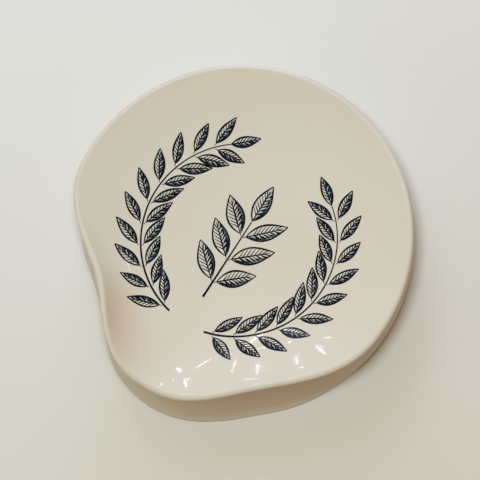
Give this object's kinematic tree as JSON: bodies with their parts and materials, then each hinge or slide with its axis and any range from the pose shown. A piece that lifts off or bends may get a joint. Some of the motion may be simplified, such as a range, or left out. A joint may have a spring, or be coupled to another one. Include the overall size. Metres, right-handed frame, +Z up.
{
  "type": "spoon-lip dish",
  "caption": "Small round glazed dish with a dipped lip between two pinches, a rolled rim, a foot ring and a leafy line print in its well.",
  "frame": {"origin": "on the table, under the middle of the dish's overall outline", "axes": "+Z up, and -Y towards the lip"},
  "size_m": [0.132, 0.1346, 0.026],
  "materials": {
    "clay": "matte",
    "glaze": "gloss",
    "ink": "gloss"
  },
  "bodies": {
    "root": {"clay_body": "clay", "foot_ring": "clay", "glaze_coat": "glaze", "base_glaze": "glaze", "print_sprig": "ink", "print_branch_left": "ink", "print_branch_right": "ink"}
  },
  "joints": []
}
